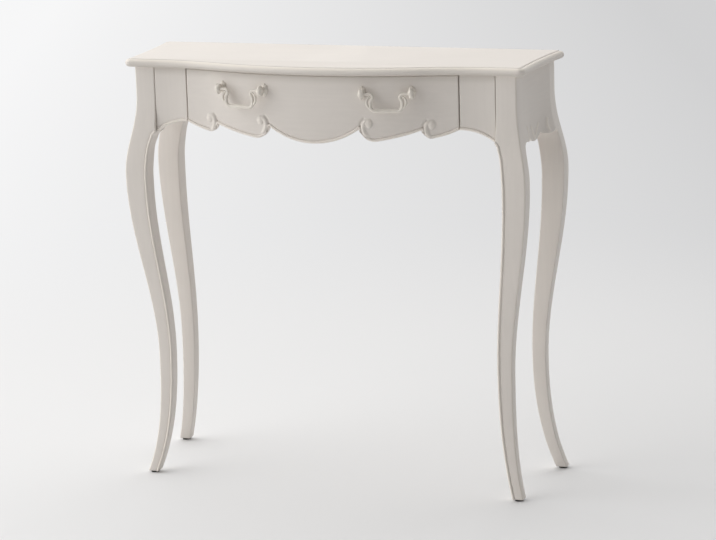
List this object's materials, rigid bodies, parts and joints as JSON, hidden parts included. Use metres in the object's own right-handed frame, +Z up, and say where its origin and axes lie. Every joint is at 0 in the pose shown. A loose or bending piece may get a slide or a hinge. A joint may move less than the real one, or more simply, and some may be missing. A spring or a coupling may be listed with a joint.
{
  "type": "pier table",
  "caption": "Narrow painted console table with a bowed serpentine front, scalloped drawer, moulded top, swan-neck bail pulls and cabriole legs.",
  "frame": {"origin": "centre of the table's bounding box on the floor", "axes": "+Z up, -Y out of the front, +X to the right of someone facing the front"},
  "size_m": [0.814, 0.2836, 0.8],
  "materials": {
    "painted_wood": "off-white eggshell paint over wood, edges softened",
    "raw_wood": "plain sanded softwood and plywood, inside only",
    "pull_paint": "cream paint over cast metal, slightly worn",
    "screw_steel": "zinc plated",
    "glide": "dark moulded plastic"
  },
  "bodies": {
    "carcass": {"tabletop": "painted_wood", "front_left_leg": "painted_wood", "front_right_leg": "painted_wood", "rear_left_leg": "painted_wood", "rear_right_leg": "painted_wood", "front_left_panel": "painted_wood", "front_right_panel": "painted_wood", "left_side_apron": "painted_wood", "right_side_apron": "painted_wood", "back_rail": "painted_wood", "front_lower_rail": "raw_wood", "front_upper_rail": "raw_wood", "left_drawer_runner": "raw_wood", "right_drawer_runner": "raw_wood", "left_drawer_guide": "raw_wood", "right_drawer_guide": "raw_wood", "left_drawer_stop": "raw_wood", "right_drawer_stop": "raw_wood", "left_kicker": "raw_wood", "right_kicker": "raw_wood", "front_left_corner_block": "raw_wood", "front_right_corner_block": "raw_wood", "rear_left_corner_block": "raw_wood", "rear_right_corner_block": "raw_wood", "corner_block_screws": "screw_steel", "top_screws": "screw_steel", "foot_glides": "glide"},
    "drawer": {"drawer_front": "painted_wood", "drawer_left_side": "raw_wood", "drawer_right_side": "raw_wood", "drawer_back": "raw_wood", "drawer_bottom": "raw_wood", "left_handle_posts": "pull_paint", "right_handle_posts": "pull_paint", "handle_screws": "screw_steel"},
    "left_bail": {"left_bail": "pull_paint"},
    "right_bail": {"right_bail": "pull_paint"}
  },
  "joints": [
    {"name": "drawer_slide", "type": "slide", "parent": "carcass", "child": "drawer", "axis": [0, -1, 0], "range_m": [0, 0.095]},
    {"name": "left_bail_swing", "type": "hinge", "parent": "drawer", "child": "left_bail", "pos_m": [-0.14092, -0.12514, 0.7545], "axis": [-0.9791, 0.2032, 0], "range_deg": [0, 90]},
    {"name": "right_bail_swing", "type": "hinge", "parent": "drawer", "child": "right_bail", "pos_m": [0.14092, -0.12514, 0.7545], "axis": [-0.9791, -0.2032, 0], "range_deg": [0, 90]}
  ]
}
